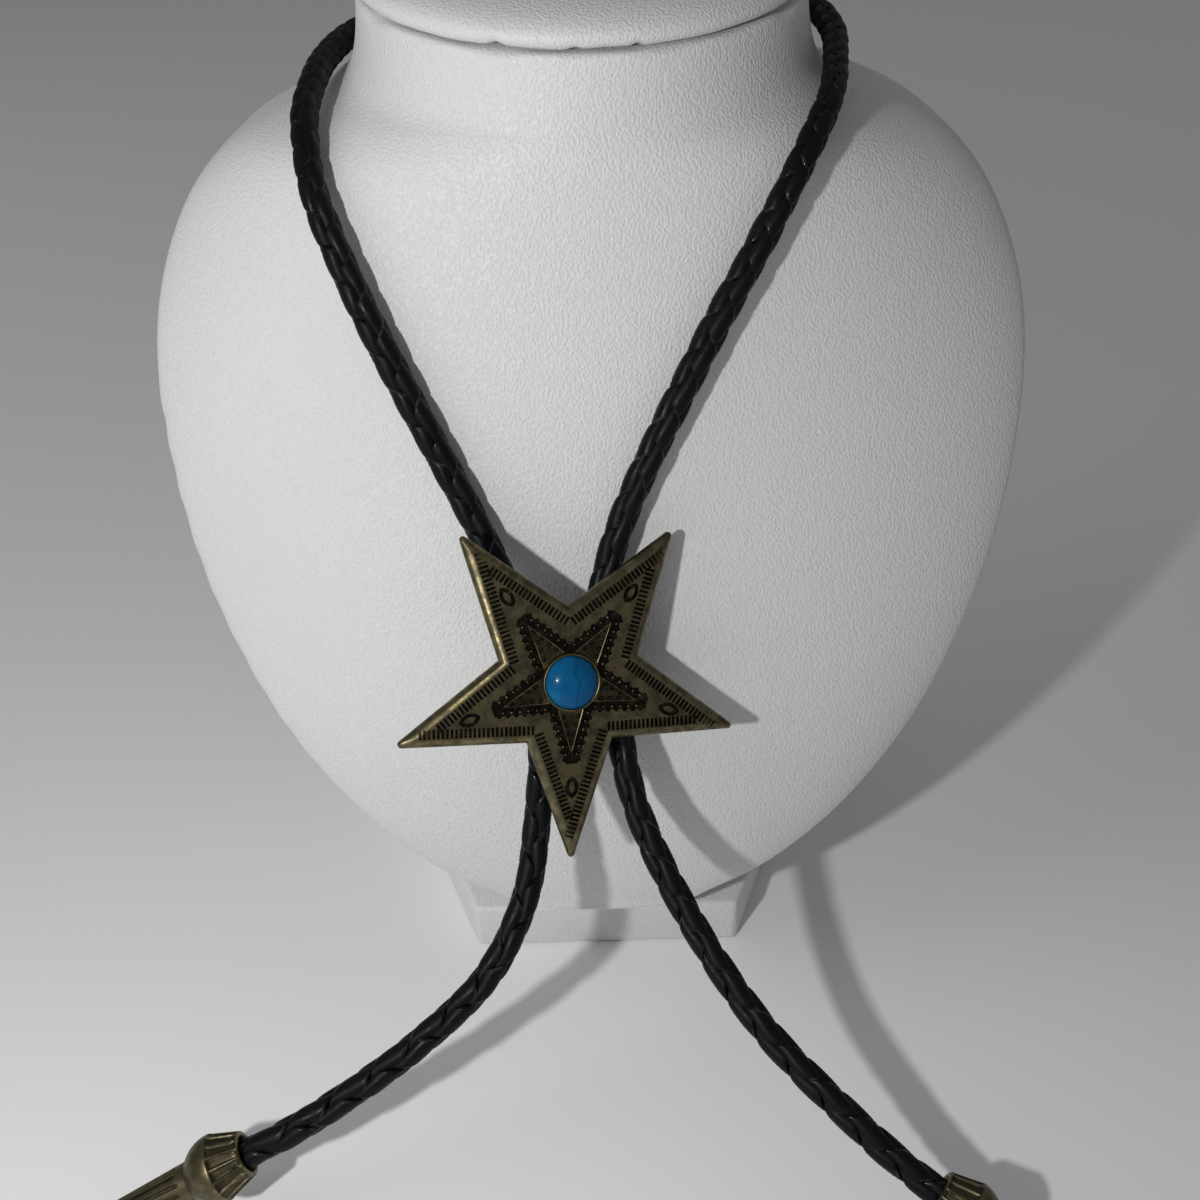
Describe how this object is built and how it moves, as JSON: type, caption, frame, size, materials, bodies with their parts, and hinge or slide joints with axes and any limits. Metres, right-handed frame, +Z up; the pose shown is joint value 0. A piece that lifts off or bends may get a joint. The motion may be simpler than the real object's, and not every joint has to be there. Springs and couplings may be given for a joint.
{
  "type": "star bolo tie on a neck bust",
  "caption": "Braided leather bolo tie with a stone-set cast star slide and cone tips on its free ends, shown on a padded slanted neck bust.",
  "frame": {"origin": "middle of the foot plate's flat underside, on the surface that the bust stands on", "axes": "+Z up, -Y the way the bust faces, +X to the right as seen from the front"},
  "size_m": [0.1789, 0.1902, 0.187],
  "materials": {
    "leatherette": "satin white with a fine pebble grain",
    "antique_brass": "antique, dark in the recesses and worn bright on the ridges",
    "turquoise": "polished",
    "black_leather": "satin black, plaited"
  },
  "bodies": {
    "root": {"bust_foot": "leatherette", "bust_body": "leatherette", "neck_cap": "leatherette", "star_plate": "antique_brass", "turquoise_stone": "turquoise", "slide_clip": "antique_brass", "braid_cord": "black_leather", "tip_left": "antique_brass", "tip_right": "antique_brass"}
  },
  "joints": []
}
